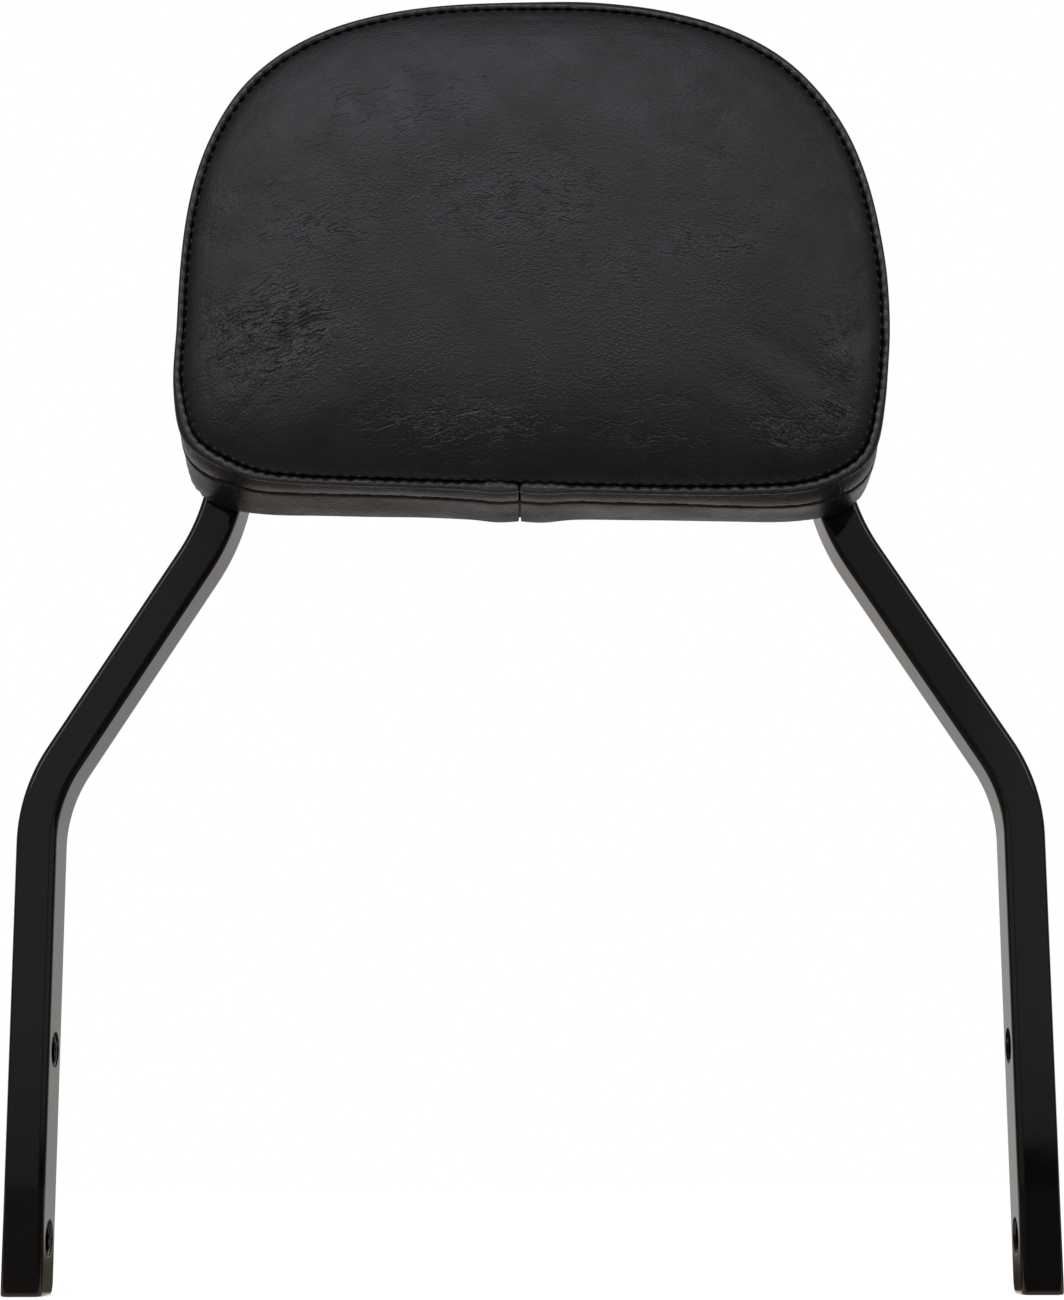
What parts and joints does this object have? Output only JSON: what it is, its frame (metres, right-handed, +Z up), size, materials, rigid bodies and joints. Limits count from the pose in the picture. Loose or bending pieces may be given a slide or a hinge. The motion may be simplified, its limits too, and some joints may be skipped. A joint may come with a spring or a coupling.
{
  "type": "sissy bar",
  "caption": "Bent square-bar sissy bar with a hoop, two legs with tapped side holes, and a stitched padded backrest bolted to welded straps.",
  "frame": {"origin": "middle of the footprint at the height of the leg ends: midway between the legs and midway between the pad's face and the back of the bar", "axes": "+Z up along the legs, -Y towards the pad's face, +X across to the viewer's right when facing the pad"},
  "size_m": [0.3204, 0.074, 0.3967],
  "materials": {
    "bar_paint": "gloss black powder coat",
    "strap_paint": "gloss black powder coat over the welds",
    "vinyl": "grained black marine vinyl, satin",
    "back_trim": "fine grained black trim board",
    "board_ply": "raw birch plywood",
    "foam": "open cell foam",
    "zinc_hardware": "bright zinc plate"
  },
  "bodies": {
    "root": {"bent_bar": "bar_paint", "lower_strap": "strap_paint", "upper_strap": "strap_paint", "weld_beads": "strap_paint", "backing_board": "board_ply", "t_nuts": "zinc_hardware", "foam_core": "foam", "face_panel": "vinyl", "front_band": "vinyl", "side_band": "vinyl", "back_panel": "back_trim", "pad_screws": "zinc_hardware", "lock_washers": "zinc_hardware", "flat_washers": "zinc_hardware"}
  },
  "joints": []
}
